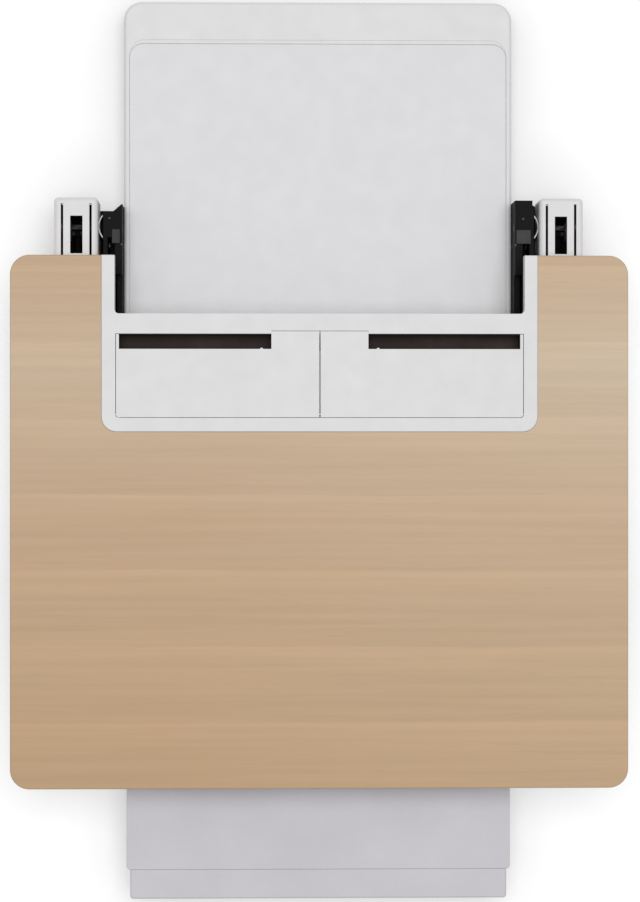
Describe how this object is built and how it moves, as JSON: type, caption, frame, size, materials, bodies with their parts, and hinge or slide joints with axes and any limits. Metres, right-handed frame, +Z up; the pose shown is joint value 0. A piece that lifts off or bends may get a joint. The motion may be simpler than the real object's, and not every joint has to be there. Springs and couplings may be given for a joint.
{
  "type": "standing desk converter",
  "caption": "Height-adjustable platform on two lifting arms over a low base, with a notched wood top, lidded bins, device slots and a pull-out keyboard tray.",
  "frame": {"origin": "centre of the object's box on the desk surface", "axes": "+Z up, -Y towards the user, +X to the user's right"},
  "size_m": [0.7, 1.0374, 0.1256],
  "materials": {
    "wood": "satin",
    "white_plastic": "satin",
    "panel_white": "matt",
    "black_metal": "satin",
    "steel": "brushed",
    "bronze": "satin",
    "grey_paint": "satin",
    "dark_liner": "matt",
    "rubber": "matt",
    "grey_rubber": "matt",
    "dark_steel": "satin"
  },
  "bodies": {
    "base": {"rubber_feet": "rubber", "base_plate": "steel", "base_cover": "white_plastic", "base_inset_panel": "panel_white", "bracket_screws": "steel", "link_rear_pins": "steel", "base_side_rail_left": "steel", "base_side_rail_right": "steel", "pivot_bracket_left": "black_metal", "pivot_bracket_right": "black_metal", "hub_axle_left": "dark_steel", "hub_axle_right": "dark_steel", "bracket_stop_pad_left": "grey_rubber", "bracket_stop_pad_right": "grey_rubber"},
    "platform": {"platform_board": "wood", "platform_bezel": "white_plastic", "storage_bin": "white_plastic", "lid_hinge_rod": "steel", "platform_screws": "steel", "link_front_pins": "steel", "platform_cross_beam": "black_metal", "slot_liner_left": "dark_liner", "slot_liner_right": "dark_liner", "platform_bracket_left": "black_metal", "platform_bracket_right": "black_metal", "front_axle_left": "steel", "front_axle_right": "steel", "slide_outer_left": "steel", "slide_outer_right": "steel"},
    "keyboard_tray": {"keyboard_tray": "grey_paint", "tray_front_lip": "grey_paint", "slide_inner_left": "steel", "slide_inner_right": "steel"},
    "slide_middles": {"slide_middle_left": "steel", "slide_middle_right": "steel"},
    "arm_left": {"arm_casing_left": "white_plastic", "arm_channel_left": "dark_steel", "arm_bushes_left": "bronze", "gas_spring_cylinder_left": "black_metal", "gas_spring_pin_left": "steel", "brake_disc_left": "steel"},
    "gas_rod_left": {"gas_spring_rod_left": "dark_steel"},
    "link_left": {"parallel_link_left": "black_metal"},
    "lid_left": {"bin_lid_left": "white_plastic"},
    "lever_left": {"release_lever_left": "black_metal", "brake_shoe_left": "rubber"},
    "arm_right": {"arm_casing_right": "white_plastic", "arm_channel_right": "dark_steel", "arm_bushes_right": "bronze", "gas_spring_cylinder_right": "black_metal", "gas_spring_pin_right": "steel", "brake_disc_right": "steel"},
    "gas_rod_right": {"gas_spring_rod_right": "dark_steel"},
    "link_right": {"parallel_link_right": "black_metal"},
    "lid_right": {"bin_lid_right": "white_plastic"},
    "lever_right": {"release_lever_right": "black_metal", "brake_shoe_right": "rubber"}
  },
  "joints": [
    {"name": "lift_left", "type": "hinge", "parent": "base", "child": "arm_left", "pos_m": [-0.2775, 0.255, 0.062], "axis": [-1, 0, 0], "range_deg": [0, 65]},
    {"name": "lift_right", "type": "hinge", "parent": "base", "child": "arm_right", "pos_m": [0.2775, 0.255, 0.062], "axis": [-1, 0, 0], "range_deg": [0, 65]},
    {"name": "link_swing_left", "type": "hinge", "parent": "base", "child": "link_left", "pos_m": [-0.238, 0.235, 0.038], "axis": [-1, 0, 0], "range_deg": [0, 65]},
    {"name": "gas_stroke_left", "type": "slide", "parent": "arm_left", "child": "gas_rod_left", "axis": [0, 1, 0], "range_m": [0, 0.013]},
    {"name": "link_swing_right", "type": "hinge", "parent": "base", "child": "link_right", "pos_m": [0.238, 0.235, 0.038], "axis": [-1, 0, 0], "range_deg": [0, 65]},
    {"name": "gas_stroke_right", "type": "slide", "parent": "arm_right", "child": "gas_rod_right", "axis": [0, 1, 0], "range_m": [0, 0.013]},
    {"name": "platform_level", "type": "hinge", "parent": "arm_left", "child": "platform", "pos_m": [-0.2775, -0.145, 0.062], "axis": [-1, 0, 0], "range_deg": [-65, 0]},
    {"name": "lid_open_left", "type": "hinge", "parent": "platform", "child": "lid_left", "pos_m": [-0.116, 0.0389, 0.1232], "axis": [1, 0, 0], "range_deg": [0, 100]},
    {"name": "lever_squeeze_left", "type": "hinge", "parent": "platform", "child": "lever_left", "pos_m": [-0.333, -0.19, 0.088], "axis": [-1, 0, 0], "range_deg": [0, 7], "stiffness_Nm_per_rad": 2, "springref_deg": -8.59},
    {"name": "lid_open_right", "type": "hinge", "parent": "platform", "child": "lid_right", "pos_m": [0.116, 0.0389, 0.1232], "axis": [1, 0, 0], "range_deg": [0, 100]},
    {"name": "lever_squeeze_right", "type": "hinge", "parent": "platform", "child": "lever_right", "pos_m": [0.333, -0.19, 0.088], "axis": [-1, 0, 0], "range_deg": [0, 7], "stiffness_Nm_per_rad": 2, "springref_deg": -8.59},
    {"name": "tray_slide", "type": "slide", "parent": "platform", "child": "keyboard_tray", "axis": [0, 1, 0], "range_m": [0, 0.122]},
    {"name": "slide_travel", "type": "slide", "parent": "platform", "child": "slide_middles", "axis": [0, 1, 0], "range_m": [0, 0.061]}
  ],
  "couplings": [
    {"joint": "lift_right", "follows": "lift_left", "ratio": 1},
    {"joint": "link_swing_left", "follows": "lift_left", "ratio": 1},
    {"joint": "gas_stroke_left", "follows": "lift_left", "m_per_rad": 0.011367},
    {"joint": "link_swing_right", "follows": "lift_left", "ratio": 1},
    {"joint": "gas_stroke_right", "follows": "lift_left", "m_per_rad": 0.011367},
    {"joint": "platform_level", "follows": "lift_left", "ratio": -1},
    {"joint": "slide_travel", "follows": "tray_slide", "ratio": 0.5}
  ]
}
